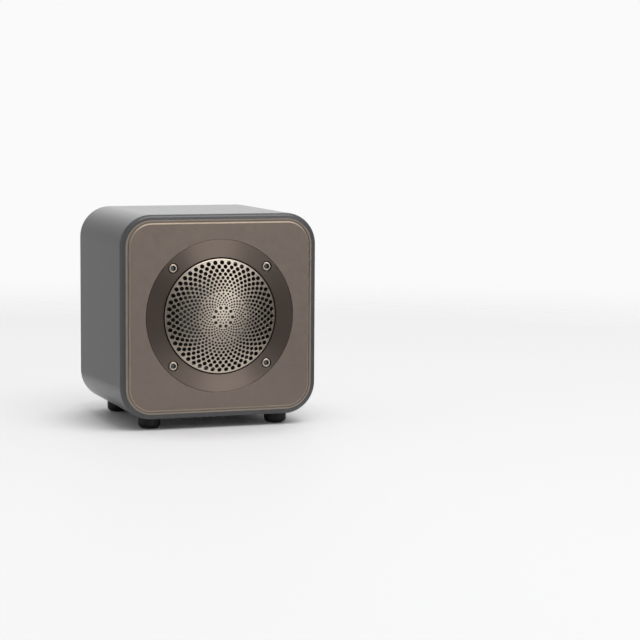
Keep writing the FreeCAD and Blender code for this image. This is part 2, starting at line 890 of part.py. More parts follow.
def board_chips():
    return [on_board(amplifier_place, amplifier_size), on_board(charger_place, charger_size)]


def lead_along(edges):
    """Round lead swept along straight runs and tangent arcs."""
    path = Part.Wire(edges)
    start = path.Edges[0]
    direction = start.tangentAt(start.FirstParameter)
    ring = Part.Wire(Part.makeCircle(lead_radius, start.valueAt(start.FirstParameter), direction))
    return path.makePipeShell([ring], True, True)


def s_bend(start, end, turn):
    """Edges from start to end along the depth, with two opposite arcs of this turn between straight runs."""
    shift = end.x - start.x
    bend = abs(shift) / (2 * (1 - math.cos(turn)))
    straight = (end.y - start.y) / 2 - bend * math.sin(turn)
    first = []
    for angle in (0.0, turn / 2, turn):
        sideways = math.copysign(bend * (1 - math.cos(angle)), shift)
        first.append(start + Vector(sideways, straight + bend * math.sin(angle), 0))
    second = [start + end - point for point in reversed(first)]
    return [
        Part.makeLine(start, first[0]),
        Part.Arc(*first).toShape(),
        Part.Arc(*second).toShape(),
        Part.makeLine(second[2], end),
    ]


def speaker_leads():
    """Two leads from the driver's tags to the board, each with one easy S-bend."""
    y_tags = y_basket + basket_sheet + terminal_thickness + tag_thickness
    leads = []
    for side in (-1, 1):
        z = side * tag_spacing / 2
        start = at(terminal_x(), y_tags, z)
        end = at(speaker_connector_place[0], y_connector, z)
        leads.append(lead_along(s_bend(start, end, math.radians(speaker_lead_turn))))
    return leads


def connectors():
    """Sockets of the speaker and battery leads on the front of the board."""
    places = (speaker_connector_place, battery_connector_place)
    return [on_board(place, connector_size) for place in places]


def battery_cell():
    start = at(-cell_length / 2, cell_y, cell_z)
    return Part.makeCylinder(cell_radius, cell_length, start, Vector(1, 0, 0))


def battery_guard():
    """Protection board on the end of the cell."""
    corner = at(guard_x - guard_thickness / 2, cell_y - guard_width / 2, cell_z - guard_height / 2)
    return Part.makeBox(guard_thickness, guard_width, guard_height, corner)


def battery_cradle():
    """Base with two saddles that take the cell."""
    y_from = cell_y - cradle_depth / 2
    base_z = floor_z + tape_thickness
    cradle = Part.makeBox(cradle_length, cradle_depth, cradle_base, at(-cradle_length / 2, y_from, base_z))
    seat_start = at(-cradle_length / 2 - OVERCUT, cell_y, cell_z)
    seat = Part.makeCylinder(cell_radius + cell_gap, cradle_length + 2 * OVERCUT, seat_start, Vector(1, 0, 0))
    for x in (-cradle_length / 2, cradle_length / 2 - cradle_saddle):
        saddle = Part.makeBox(cradle_saddle, cradle_depth, cell_z - base_z, at(x, y_from, base_z))
        cradle = cradle.fuse(saddle)
    return cradle.cut(seat).removeSplitter()


def cradle_tape():
    corner = at(-cradle_length / 2, cell_y - cradle_depth / 2, floor_z)
    return Part.makeBox(cradle_length, cradle_depth, tape_thickness, corner)


def battery_lead():
    """Lead that rises from the protection board and bends back to its connector."""
    top_z = cell_z + guard_height / 2
    bend = battery_lead_bend
    middle = bend * (1 - math.sqrt(0.5))
    start = at(guard_x, cell_y, top_z)
    corner = [
        start,
        at(guard_x, cell_y + middle, top_z + bend - middle),
        at(guard_x, cell_y + bend, top_z + bend),
    ]
    end = at(guard_x, y_connector, top_z + bend)
    return lead_along([Part.Arc(*corner).toShape(), Part.makeLine(corner[2], end)])


def all_pieces():
    """Every node of the speaker, by name."""
    pieces = {
        "enclosure_shell": enclosure_shell(),
        "front_panel": front_panel(),
        "trim_ring": trim_ring(),
        "grille": grille(),
        "ring_screws": ring_screws(),
        "ring_nuts": ring_nuts(),
        "front_baffle": front_baffle(),
        "baffle_screws": baffle_screws(),
        "driver_gasket": driver_gasket(),
        "driver_basket": driver_basket(),
        "driver_surround": driver_surround(),
        "driver_cone": driver_cone(),
        "dust_cap": dust_cap(),
        "voice_coil_former": voice_coil_former(),
        "voice_coil": voice_coil(),
        "driver_spider": driver_spider(),
        "top_plate": top_plate(),
        "magnet": magnet(),
        "pole_yoke": pole_yoke(),
        "driver_terminal": driver_terminal(),
        "terminal_tags": terminal_tags(),
        "rear_panel": rear_panel(),
        "rear_gasket": rear_gasket(),
        "rear_screws": rear_screws(),
        "button_switches": button_switches(),
        "charging_socket": charging_socket(),
        "socket_tongue": socket_tongue(),
        "status_light": status_light(),
        "light_pipe": light_pipe(),
        "main_board": main_board(),
        "board_screws": board_screws(),
        "radio_module": radio_module(),
        "radio_shield": radio_shield(),
        "filter_inductors": filter_inductors(),
        "capacitors": capacitors(),
        "board_chips": board_chips(),
        "connectors": connectors(),
        "speaker_leads": speaker_leads(),
        "battery_cell": battery_cell(),
        "battery_guard": battery_guard(),
        "battery_cradle": battery_cradle(),
        "cradle_tape": cradle_tape(),
        "battery_lead": battery_lead(),
    }
    for name, place in foot_places().items():
        pieces[name] = foot(place)
    for name, x in button_places().items():
        pieces[name + "_button"] = button(x)
        pieces[name + "_plunger"] = switch_plunger(x)
    return pieces


def main():
    os.makedirs("parts", exist_ok=True)
    for name, shape in all_pieces().items():
        if isinstance(shape, list):
            shape = Part.makeCompound(shape)
        shape.exportStep(os.path.join("parts", name + ".step"))


main()
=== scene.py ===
"""Looks of a portable wireless speaker, laid out as an add-on and run as a script."""
import math

import bmesh
import bpy
from bpy.props import FloatProperty, FloatVectorProperty, IntProperty, PointerProperty
from bpy.types import Operator, Panel, PropertyGroup
from mathutils import Matrix, Vector
from mathutils.geometry import delaunay_2d_cdt


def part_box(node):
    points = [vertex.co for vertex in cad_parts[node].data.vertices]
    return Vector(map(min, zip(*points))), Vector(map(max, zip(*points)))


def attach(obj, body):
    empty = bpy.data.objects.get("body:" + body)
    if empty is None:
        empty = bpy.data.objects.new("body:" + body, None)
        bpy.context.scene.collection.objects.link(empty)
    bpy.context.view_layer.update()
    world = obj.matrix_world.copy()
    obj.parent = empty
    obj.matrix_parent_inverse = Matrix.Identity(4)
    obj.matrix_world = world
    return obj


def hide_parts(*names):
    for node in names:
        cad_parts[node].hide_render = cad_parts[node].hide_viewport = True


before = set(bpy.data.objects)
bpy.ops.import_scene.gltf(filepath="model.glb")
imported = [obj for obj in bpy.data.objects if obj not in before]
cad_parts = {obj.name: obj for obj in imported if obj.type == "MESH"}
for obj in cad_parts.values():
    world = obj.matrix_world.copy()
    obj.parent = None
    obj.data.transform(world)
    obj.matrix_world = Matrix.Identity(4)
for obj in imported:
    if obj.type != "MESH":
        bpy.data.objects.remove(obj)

bl_info = {
    "name": "Portable Speaker Looks",
    "version": (1, 0, 0),
    "blender": (4, 5, 0),
    "location": "View3D > Sidebar > Speaker",
    "description": "Dresses a portable speaker: grille, front, ring, finishes, light and camera",
    "category": "Object",
}

MM = 0.001
MICRON = 0.000001
SHARP_ANGLE = math.radians(35.0)
WHITE = (1.0, 1.0, 1.0, 1.0)

# Points round each kind of circle, and steps across each kind of rounding
RING_POINTS = 192
RIM_POINTS = 160
SCREW_POINTS = 48
COUNTERBORE_POINTS = 40
HOLE_POINTS = 20
FINE_HOLE_POINTS = 14
CORNER_STEPS = 14
EDGE_STEPS = 4

# Holes up to this width are drawn with fewer points
FINE_HOLE_WIDTH = 0.8 * MM
# Rings of the rosette in the grille's middle: radius in mm, number of holes, width in mm
ROSETTE = ((0.0, 1, 0.72), (1.38, 6, 0.76), (2.61, 12, 0.8), (4.2, 10, 1.5))
# Turn of a hexagon socket in radians for each metre to the right
SOCKET_TURN = 400.0

# Signs on the buttons, in mm from the button's middle and face
SIGN_ARM = 1.7
SIGN_HALF_BAR = 0.3
SIGN_STEM_START = 0.3
SIGN_ROOT = -0.1
SIGN_CREST = 0.08
# The power sign's arc: half of its gap in degrees, and its steps
ARC_HALF_GAP = 38.0
ARC_STEPS = 40

# Share of the lip's colour that the groove beside it has: a painted shade that darkens the groove
GROOVE_PAINTED_SHADE = 0.95
# A noise texture stays mostly between these
NOISE_LOW, NOISE_HIGH = 0.3, 0.7

# Places read from the frame, in metres
_, SHELL_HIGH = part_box("enclosure_shell")
PANEL_LOW, PANEL_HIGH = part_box("front_panel")
RING_LOW, RING_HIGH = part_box("trim_ring")
GRILLE_LOW, GRILLE_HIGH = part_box("grille")
AXIS_HEIGHT = (RING_LOW.z + RING_HIGH.z) / 2


def length(name, description, millimetres):
    """Size property in metres whose default is given in millimetres."""
    return FloatProperty(
        name=name, description=description, default=millimetres * MM, min=0.0, precision=5,
        subtype="DISTANCE", unit="LENGTH")


def place(name, description, default):
    """Place property in metres."""
    return FloatVectorProperty(
        name=name, description=description, default=default, size=3,
        subtype="TRANSLATION", unit="LENGTH")


def colour(name, description, default):
    """Colour property with a linear red, green and blue default."""
    return FloatVectorProperty(
        name=name, description=description, default=default, min=0.0, max=1.0, size=3,
        subtype="COLOR")


def angle(name, description, degrees):
    """Angle property whose default is given in degrees."""
    return FloatProperty(
        name=name, description=description, default=math.radians(degrees), subtype="ANGLE")


def amount(name, description, default):
    """Plain number property."""
    return FloatProperty(name=name, description=description, default=default, min=0.0)


def number(name, description, default, least):
    """Whole number property."""
    return IntProperty(name=name, description=description, default=default, min=least)


class SpeakerGrilleSettings(PropertyGroup):
    """Sizes of the domed grille and its rings of holes."""
    radius: length("Radius", "Outside of the grille's wall", 25.4)
    sheet: length("Sheet", "Thickness of the pressed sheet", 0.6)
    dome_rise: length("Dome Rise", "Height of the dome above its rim", 4.5)
    flange_thickness: length("Flange Thickness", "Thickness of the clamped flange", 0.8)
    edge_round: length("Edge Round", "Rounding where the dome meets the wall", 0.4)
    hole_edge: length("Hole Edge", "Width of the broken edge round each hole", 0.04)
    pattern_turn: angle("Pattern Turn", "Turn of the pattern, clockwise from the front", 1.4)
    fine_holes: number("Fine Holes", "Holes in each fine ring", 30, 3)
    fine_rings: number("Fine Rings", "Number of fine rings", 6, 1)
    fine_first_radius: length("Fine First Radius", "Radius of the first fine ring", 5.62)
    fine_pitch: length("Fine Pitch", "Step between fine rings", 0.942)
    fine_first_hole: length("Fine First Hole", "Width of the first fine ring's holes", 0.72)
    fine_hole_growth: length("Fine Hole Growth", "Growth of the holes from ring to ring", 0.05)
    coarse_holes: number("Coarse Holes", "Holes in each coarse ring", 48, 3)
    coarse_rings: number("Coarse Rings", "Number of coarse rings", 9, 1)
    coarse_first_radius: length("Coarse First Radius", "Radius of the first coarse ring", 11.68)
    coarse_first_pitch: length("Coarse First Pitch", "Step to the second coarse ring", 1.28)
    coarse_pitch_growth: length("Coarse Pitch Growth", "Growth of the step, each ring", 0.065)
    coarse_first_hole: length("Coarse First Hole", "Width of the first coarse ring's holes", 1.04)
    coarse_hole_growth: length("Coarse Hole Growth", "Growth of the holes, each ring", 0.112)


class SpeakerFrontSettings(PropertyGroup):
    """Sizes of the front panel, the trim ring and the socket screws."""
    corner_radius: length("Corner Radius", "Outside corner of the cabinet", 14.0)
    lip_width: length("Lip Width", "Flat lip round the panel", 0.9)
    groove_width: length("Groove Width", "Groove inside the lip", 0.45)
    groove_depth: length("Groove Depth", "Depth of the groove below the lip", 0.3)
    field_rise: length("Field Rise", "Height of the raised field above the lip", 0.6)
    field_chamfer: length("Field Chamfer", "Bright chamfer round the field", 0.6)
    edge_round: length("Edge Round", "Rounding of the sharp edges", 0.06)
    ring_gap: length("Ring Gap", "Gap between the panel and the trim ring", 0.1)
    ring_bore: length("Ring Bore", "Inside of the trim ring", 25.95)
    ring_chamfer: length("Ring Chamfer", "Chamfer on the ring's edges", 0.15)
    rabbet_radius: length("Rabbet Radius", "Step behind the ring that holds the grille", 27.6)
    rabbet_depth: length("Rabbet Depth", "Depth of that step", 0.9)
    screw_spacing: length("Screw Spacing", "Side of the square of ring screws", 43.0)
    counterbore_radius: length("Counterbore Radius", "Recess round a ring screw's head", 2.3)
    counterbore_depth: length("Counterbore Depth", "Depth of that recess", 1.9)
    screw_hole_radius: length("Screw Hole Radius", "Hole for a ring screw's shank", 1.15)
    ring_screw_head: length("Ring Screw Head", "Radius of a ring screw's head", 1.9)
    ring_screw_height: length("Ring Screw Height", "Height of that head", 1.9)
    ring_screw_shank: length("Ring Screw Shank", "Radius of a ring screw's shank", 1.0)
    rear_screw_head: length("Rear Screw Head", "Radius of a rear screw's head", 2.25)
    rear_screw_height: length("Rear Screw Height", "Height of that head", 1.8)
    rear_screw_shank: length("Rear Screw Shank", "Radius of a rear screw's shank", 1.25)
    screw_edge: length("Screw Edge", "Rounding round the head", 0.3)
    socket_mouth: length("Socket Mouth", "Countersink round the hexagon socket", 1.25)
    socket_key: length("Socket Key", "Hexagon key, from the middle to a corner", 1.155)
    socket_bevel: length("Socket Bevel", "Depth of that countersink", 0.12)
    socket_depth: length("Socket Depth", "Depth of the hexagon socket", 1.2)
    rear_round: length("Rear Round", "Rounding of the rear panel's edges", 0.15)


class SpeakerFinishSettings(PropertyGroup):
    """Colours of the finishes that show most."""
    shell: colour("Shell", "Coated cabinet", (0.081, 0.081, 0.085))
    field: colour("Field", "Blasted bronze of the front panel", (0.168, 0.136, 0.117))
    chamfer: colour("Chamfer", "Bright cut round the field", (0.56, 0.47, 0.385))
    lip: colour("Lip", "Bronze lip of the panel", (0.245, 0.211, 0.178))
    ring: colour("Ring", "Turned trim ring", (0.232, 0.187, 0.161))
    grille: colour("Grille", "Perforated sheet", (0.64, 0.56, 0.47))
    screw: colour("Screw", "Socket screws", (0.60, 0.525, 0.43))
    # Socket: a darker copy of the screw steel, painted shade in the countersinks and hexagon
    # sockets
    socket: colour("Socket", "Walls of the hexagon sockets", (0.13, 0.13, 0.136))
    # Gap: near-black painted shade on the walls of gaps, holes and recesses, which are really the
    # same metal as their faces
    gap: colour("Gap", "Dark walls of gaps and holes", (0.006, 0.006, 0.006))
    rubber: colour("Rubber", "Feet", (0.006, 0.006, 0.006))
    moulding: colour("Moulding", "Rear panel", (0.025, 0.025, 0.026))
    button: colour("Button", "Rear buttons", (0.035, 0.035, 0.036))
    mark: colour("Mark", "Signs on the rear buttons", (0.55, 0.55, 0.54))
    cone: colour("Cone", "Driver's cone and dust cap", (0.12, 0.12, 0.122))


class SpeakerStageSettings(PropertyGroup):
    """Camera, light and floor."""
    camera_place: place("Camera Place", "Where the camera stands", (-0.2858, -0.9495, 0.15025))
    camera_yaw: angle("Camera Yaw", "Turn of the view from +Y towards +X", 19.995)
    camera_pitch: angle("Camera Pitch", "Downward tilt of the view", 6.069)
    camera_roll: angle("Camera Roll", "Roll of the view", 0.369)
    sensor: FloatProperty(
        name="Sensor", description="Width of the sensor", default=36.0, min=1.0, unit="CAMERA")
    lens: FloatProperty(
        name="Lens", description="Focal length", default=122.73, min=1.0, unit="CAMERA")
    floor: colour("Floor", "Pale floor", (0.93, 0.93, 0.935))
    floor_reach: length("Floor Reach", "From the speaker to the floor's edges", 4000.0)
    background: amount("Background", "Brightness of the white behind the speaker", 0.955)
    back_light: amount("Back Light", "Level of the white room behind the speaker", 1.0)
    left_light: amount("Left Light", "Share of that level on the left", 0.32)
    side_light: amount("Side Light", "Share of that level straight to the left", 0.35)
    front_light: amount("Front Light", "Level of the dim room on the camera's side", 0.45)
    front_shade: amount("Front Shade", "Level of that side as the metals show it", 0.09)
    strip_light: amount("Strip Light", "Level of the white strip that the metals show", 2.1)
    strip_lean: amount("Strip Lean", "How far the strip leans to the right as it rises", 0.45)
    ceiling_light: amount("Ceiling Light", "Level of the ceiling that the metals show", 0.80)
    side_glow: amount("Side Glow", "Level of the card on the left that the metals show", 0.65)
    right_shade: amount("Right Shade", "How far the room is shaded low on the right", 0.9)
    overhead_place: place("Overhead Place", "Where the softbox hangs", (0.22, -0.6, 1.2))
    overhead_width: length("Overhead Width", "Width of the softbox", 1000.0)
    overhead_depth: length("Overhead Depth", "Depth of the softbox", 800.0)
    overhead_power: FloatProperty(
        name="Overhead Power", description="Power of the softbox", default=9.2, min=0.0,
        unit="POWER")


class Draft:
    """Points and faces of a piece while it is drawn, with a finish number for each face."""

    def __init__(self):
        self.points = []
        self.faces = []
        self.finishes = []

    def loop(self, points):
        """Adds points and returns their numbers."""
        first = len(self.points)
        self.points.extend(points)
        return list(range(first, len(self.points)))

    def rings(self, profile, count, x=0.0, z=AXIS_HEIGHT):
        """Adds a circle for each radius and depth of a profile and returns them all."""
        return [self.loop(circle(radius, y, count, x, z)) for radius, y in profile]

    def face(self, numbers, finish=0):
        """Adds one face."""
        self.faces.append(tuple(numbers))
        self.finishes.append(finish)

    def strip(self, first, second, finish=0):
        """Joins two closed loops of as many points with a band of quads."""
        count = len(first)
        for k in range(count):
            after = (k + 1) % count
            self.face((first[k], first[after], second[after], second[k]), finish)

    def band(self, loops, finish=0):
        """Joins each closed loop to the next."""
        for first, second in zip(loops, loops[1:]):
            self.strip(first, second, finish)

    def fill(self, rim, holes, finish=0):
        """Fills a convex loop around its holes with triangles, as seen along Y."""
        tolerance = 1e-5
        loops = [rim] + holes
        numbers = [n for loop in loops for n in loop]
        owner = [index for index, loop in enumerate(loops) for _ in loop]
        edges = []
        start = 0
        for loop in loops:
            count = len(loop)
            edges.extend((start + k, start + (k + 1) % count) for k in range(count))
            start += count
        flat = [Vector((self.points[n][0] / MM, self.points[n][2] / MM)) for n in numbers]
        points, _, triangles, *_ = delaunay_2d_cdt(flat, edges, [], 0, tolerance)
        if len(points) != len(flat):
            raise RuntimeError("the outlines of a filled face cross")
        for triangle in triangles:
            owners = {owner[k] for k in triangle}
            if len(owners) == 1 and owners != {0}:
                continue
            self.face([numbers[k] for k in triangle], finish)

    def piece(self, name, finishes):
        """Makes the object, with its faces turned outwards and smooth between sharp edges."""
        mesh = bpy.data.meshes.new(name)
        mesh.from_pydata(self.points, [], self.faces)
        for finish in finishes:
            mesh.materials.append(finish)
        mesh.polygons.foreach_set("material_index", self.finishes)
        shaped = bmesh.new()
        shaped.from_mesh(mesh)
        bmesh.ops.recalc_face_normals(shaped, faces=shaped.faces)
        shaped.to_mesh(mesh)
        shaped.free()
        mesh.shade_smooth()
        mesh.set_sharp_from_angle(angle=SHARP_ANGLE)
        obj = bpy.data.objects.new(name, mesh)
        bpy.context.scene.collection.objects.link(obj)
        return obj


def circle(radius, y, count, x=0.0, z=AXIS_HEIGHT, turn=0.0):
    """Points of a circle that faces the front, clockwise from its top."""
    points = []
    for k in range(count):
        a = turn + 2 * math.pi * k / count
        points.append((x + radius * math.sin(a), y, z + radius * math.cos(a)))
    return points


def rounded_square(half_x, half_z, corner, y):
    """Points of a square with round corners about the driver's axis."""
    points = []
    for quarter, (side_x, side_z) in enumerate(((1, 1), (-1, 1), (-1, -1), (1, -1))):
        for k in range(CORNER_STEPS + 1):
            a = math.pi / 2 * (quarter + k / CORNER_STEPS)
            x = side_x * (half_x - corner) + corner * math.cos(a)
            z = side_z * (half_z - corner) + corner * math.sin(a)
            points.append((x, y, AXIS_HEIGHT + z))
    return points


def ring_rows(settings):
    """Radius, number, width and half-pitch turn of every ring of holes."""
    rows = []
    for index, (radius, count, width) in enumerate(ROSETTE):
        rows.append((radius * MM, count, width * MM, index % 2))
    for index in range(settings.fine_rings):
        radius = settings.fine_first_radius + index * settings.fine_pitch
        width = settings.fine_first_hole + index * settings.fine_hole_growth
        rows.append((radius, settings.fine_holes, width, (index + 1) % 2))
    radius = settings.coarse_first_radius
    for index in range(settings.coarse_rings):
        width = settings.coarse_first_hole + index * settings.coarse_hole_growth
        rows.append((radius, settings.coarse_holes, width, index % 2))
        radius += settings.coarse_first_pitch + index * settings.coarse_pitch_growth
    return rows


def draw_grille(settings):
    """Domed sheet with round holes, a short wall and a flange."""
    crown_y = GRILLE_LOW.y
    back_y = GRILLE_HIGH.y
    sphere = (settings.radius ** 2 + settings.dome_rise ** 2) / (2 * settings.dome_rise)
    inner_sphere = sphere - settings.sheet
    inner_radius = settings.radius - settings.sheet
    inner_y = crown_y + settings.sheet

    def dome(points, radius, y_top, sink=0.0):
        """Lays points seen from the front on a dome, along Y."""
        laid = []
        for x, _, z in points:
            away = x ** 2 + (z - AXIS_HEIGHT) ** 2
            laid.append((x, y_top + radius - math.sqrt(radius ** 2 - away) + sink, z))
        return laid

    # shaded: near-black painted shade for the hole walls, the wall, the flange and the back of the
    # dome
    sheet, shaded = range(2)
    draft = Draft()
    outer_holes = []
    inner_holes = []
    for radius, count, width, half_turn in ring_rows(settings):
        sides = HOLE_POINTS if width > FINE_HOLE_WIDTH else FINE_HOLE_POINTS
        for index in range(count):
            a = settings.pattern_turn + 2 * math.pi * (index + half_turn / 2) / count
            x = radius * math.sin(a)
            z = AXIS_HEIGHT + radius * math.cos(a)
            wide = circle(width / 2 + settings.hole_edge, 0.0, sides, x, z, a)
            narrow = circle(width / 2, 0.0, sides, x, z, a)
            edge = draft.loop(dome(wide, sphere, crown_y))
            throat = draft.loop(dome(narrow, sphere, crown_y, settings.hole_edge))
            back = draft.loop(dome(narrow, inner_sphere, inner_y))
            draft.strip(edge, throat, sheet)
            # Painted shade on each hole's wall, below its bright edge
            draft.strip(throat, back, shaded)
            outer_holes.append(edge)
            inner_holes.append(back)

    dome_edge = settings.radius - settings.edge_round
    shoulder = dome(circle(dome_edge, 0.0, RIM_POINTS), sphere, crown_y)
    shoulder_y = shoulder[0][1]
    loops = [draft.loop(shoulder)]
    for step in range(1, EDGE_STEPS + 1):
        a = math.pi / 2 * step / EDGE_STEPS
        radius = dome_edge + settings.edge_round * math.sin(a)
        y = shoulder_y + settings.edge_round * (1 - math.cos(a))
        loops.append(draft.loop(circle(radius, y, RIM_POINTS)))
    flange_radius = GRILLE_HIGH.x
    flange_y = back_y - settings.flange_thickness
    loops += draft.rings((
        (settings.radius, flange_y), (flange_radius, flange_y),
        (flange_radius, back_y), (inner_radius, back_y)), RIM_POINTS)
    inside = dome(circle(inner_radius, 0.0, RIM_POINTS), inner_sphere, inner_y)
    loops.append(draft.loop(inside))
    draft.band(loops[:EDGE_STEPS + 1], sheet)
    # Painted shade from the end of the rounding round to the back of the dome
    draft.band(loops[EDGE_STEPS:], shaded)
    draft.fill(loops[0], outer_holes, sheet)
    draft.fill(loops[-1], inner_holes, shaded)
    return draft


def draw_front_panel(settings):
    """Plate with a lip, a groove and a raised field with a bright chamfer, round the opening."""
    field, chamfer, groove, lip = range(4)
    half_x = PANEL_HIGH.x
    half_z = (PANEL_HIGH.z - PANEL_LOW.z) / 2
    inset = SHELL_HIGH.x - half_x
    y_field = PANEL_LOW.y
    y_back = PANEL_HIGH.y
    y_lip = y_field + settings.field_rise
    y_groove = y_lip + settings.groove_depth
    soft = settings.edge_round
    draft = Draft()

    def outline(inward, y):
        """Adds the panel's outline, moved inwards, at this depth."""
        corner = settings.corner_radius - inset - inward
        return draft.loop(rounded_square(half_x - inward, half_z - inward, corner, y))

    lip_end = settings.lip_width
    field_start = lip_end + settings.groove_width
    flat_start = field_start + settings.field_chamfer
    back = outline(0.0, y_back)
    lip_loops = [back]
    for inward, y in (
            (0.0, y_lip + soft), (soft, y_lip), (lip_end - soft, y_lip), (lip_end, y_lip + soft)):
        lip_loops.append(outline(inward, y))
    draft.band(lip_loops, lip)
    floor = [lip_loops[-1], outline(lip_end, y_groove), outline(field_start, y_groove)]
    floor.append(outline(field_start, y_field + settings.field_chamfer))
    draft.band(floor, groove)
    bright = outline(flat_start, y_field)
    draft.band([floor[-1], bright], chamfer)
    opening = RING_HIGH.x + settings.ring_gap
    hole = draft.rings((
        (opening + soft, y_field), (opening, y_field + soft), (opening, y_back)), RING_POINTS)
    draft.band(hole, field)
    draft.fill(bright, [hole[0]], field)
    draft.fill(back, [hole[-1]], lip)
    return draft


def draw_trim_ring(settings):
    """Turned ring with chamfered edges, a rabbet behind and four counterbores."""
    y_field = RING_LOW.y
    y_back = RING_HIGH.y
    y_rabbet = y_back - settings.rabbet_depth
    y_seat = y_field + settings.counterbore_depth
    radius = RING_HIGH.x
    chamfer = settings.ring_chamfer
    soft = settings.edge_round
    # shaded: near-black painted shade for the bore below its chamfer, the rabbet and the
    # counterbores
    turned, shaded = range(2)
    draft = Draft()
    outer = draft.rings((
        (radius, y_back), (radius, y_field + chamfer), (radius - chamfer, y_field)), RING_POINTS)
    draft.band(outer, turned)
    bore = settings.ring_bore
    inner = draft.rings((
        (bore + chamfer, y_field), (bore, y_field + chamfer), (bore, y_rabbet),
        (settings.rabbet_radius, y_rabbet), (settings.rabbet_radius, y_back)), RING_POINTS)
    draft.band(inner[:2], turned)
    # Painted shade on the bore and the rabbet
    draft.band(inner[1:], shaded)
    front_holes = []
    back_holes = []
    recess = settings.counterbore_radius
    shank_hole = settings.screw_hole_radius
    profile = (
        (recess + soft, y_field), (recess, y_field + soft), (recess, y_seat),
        (shank_hole, y_seat), (shank_hole, y_back))
    half = settings.screw_spacing / 2
    for x in (-half, half):
        for z in (-half, half):
            walls = draft.rings(profile, COUNTERBORE_POINTS, x, AXIS_HEIGHT + z)
            draft.band(walls[:2], turned)
            # Painted shade on the counterbore's wall, its floor and the screw hole
            draft.band(walls[1:], shaded)
            front_holes.append(walls[0])
            back_holes.append(walls[-1])
    draft.fill(outer[-1], [inner[0]] + front_holes, turned)
    draft.fill(outer[0], [inner[-1]] + back_holes, turned)
    return draft


def draw_screws(node, facing, head, head_height, shank, settings):
    """Four socket screws with rounded heads, whose heads look along +Y or -Y."""
    low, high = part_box(node)
    y_face, y_end = (high.y, low.y) if facing > 0 else (low.y, high.y)
    y_seat = y_face - facing * head_height
    half_x = high.x - head
    half_z = (high.z - low.z) / 2 - head
    edge = settings.screw_edge
    # socket: the darker painted shade finish for each countersink and hexagon socket
    steel, socket = range(2)
    profile = [(shank - edge, y_end), (shank, y_end + facing * edge)]
    profile += [(shank, y_seat), (head, y_seat)]
    for step in range(EDGE_STEPS + 1):
        a = math.pi / 2 * step / EDGE_STEPS
        drop = edge * (1 - math.sin(a))
        profile.append((head - edge + edge * math.cos(a), y_face - facing * drop))
    profile.append((settings.socket_mouth, y_face))
    draft = Draft()
    for x in (-half_x, half_x):
        for side in (-half_z, half_z):
            z = AXIS_HEIGHT + side
            loops = draft.rings(profile, SCREW_POINTS, x, z)
            draft.band(loops, steel)
            draft.face(loops[0], steel)
            rim, bottom = (
                draft.loop(circle(
                    settings.socket_key, y_face - facing * depth, 6, x, z, x * SOCKET_TURN))
                for depth in (settings.socket_bevel, settings.socket_depth))
            draft.fill(loops[-1], [rim], socket)
            draft.strip(rim, bottom, socket)
            draft.face(bottom, socket)
    return draft


def sign_outlines(button):
    """Outlines of the sign on a button, in mm about its middle: power, plus or minus."""
    arm, bar = SIGN_ARM, SIGN_HALF_BAR
    if button == "volume_down":
        return [[(-arm, -bar), (arm, -bar), (arm, bar), (-arm, bar)]]
    if button == "volume_up":
        return [[(-arm, -bar), (-bar, -bar), (-bar, -arm), (bar, -arm), (bar, -bar), (arm, -bar),
                 (arm, bar), (bar, bar), (bar, arm), (-bar, arm), (-bar, bar), (-arm, bar)]]
    outer = []
    inner = []
    inner_radius = arm - 2 * bar
    for k in range(ARC_STEPS + 1):
        a = math.radians(ARC_HALF_GAP + (360 - 2 * ARC_HALF_GAP) * k / ARC_STEPS)
        outer.append((arm * math.sin(a), arm * math.cos(a)))
        inner.append((inner_radius * math.sin(a), inner_radius * math.cos(a)))
    start, end = SIGN_STEM_START, arm + bar
    return [outer + inner[::-1], [(-bar, start), (bar, start), (bar, end), (-bar, end)]]


def draw_sign(button):
    """Sign moulded into a button's face and standing a little proud of it."""
    low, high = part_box(button + "_button")
    x = (low.x + high.x) / 2
    z = (low.z + high.z) / 2
    draft = Draft()
    for outline in sign_outlines(button):
        root, crest = (
            draft.loop([(x + right * MM, high.y + rise * MM, z + up * MM) for right, up in outline])
            for rise in (SIGN_ROOT, SIGN_CREST))
        draft.strip(root, crest)
        draft.face(root)
        draft.face(crest)
    return draft


def soften(node, width):
    """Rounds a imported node's sharp edges without touching its mesh."""
    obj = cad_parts[node]
    weld = obj.modifiers.new("join_corners", "WELD")
    weld.merge_threshold = MICRON
    bevel = obj.modifiers.new("soft_edges", "BEVEL")
    bevel.limit_method = "ANGLE"
    bevel.angle_limit = SHARP_ANGLE
    bevel.width = width
    bevel.segments = 2
    bevel.harden_normals = True


class Graph:
    """Node tree under construction."""

    def __init__(self, tree):
        self.tree = tree

    def add(self, kind, **inputs):
        """Adds a node and sets its inputs by name."""
        node = self.tree.nodes.new(kind)
        for name, value in inputs.items():
            node.inputs[name.replace("_", " ")].default_value = value
        return node

    def join(self, output, socket):
        """Links an output to an input."""
        self.tree.links.new(output, socket)

    def combine(self, operation, first, second):
        """Result of one arithmetic step on two outputs, or on an output and a number."""
        node = self.add("ShaderNodeMath")
        node.operation = operation
        for value, socket in zip((first, second), node.inputs):
            if isinstance(value, float):
                socket.default_value = value
            else:
                self.join(value, socket)
        return node.outputs[0]

    def times(self, first, second):
        """First number times the second."""
        return self.combine("MULTIPLY", first, second)

    def most(self, first, second):
        """Larger of two numbers."""
        return self.combine("MAXIMUM", first, second)

    def ramp(self, value, limits, low=0.0, high=1.0):
        """Number that eases from low to high while a value goes from one limit to the other."""
        start, end = limits
        node = self.add(
            "ShaderNodeMapRange", From_Min=start, From_Max=end, To_Min=low, To_Max=high)
        node.interpolation_type = "SMOOTHSTEP"
        self.join(value, node.inputs["Value"])
        return node.outputs["Result"]

    def mix(self, share, first, second, output):
        """Sends a mix of two shaders to the tree's output node."""
        node = self.add("ShaderNodeMixShader")
        for value, socket in zip((share, first.outputs[0], second.outputs[0]), node.inputs):
            self.join(value, socket)
        self.join(node.outputs[0], output.inputs["Surface"])


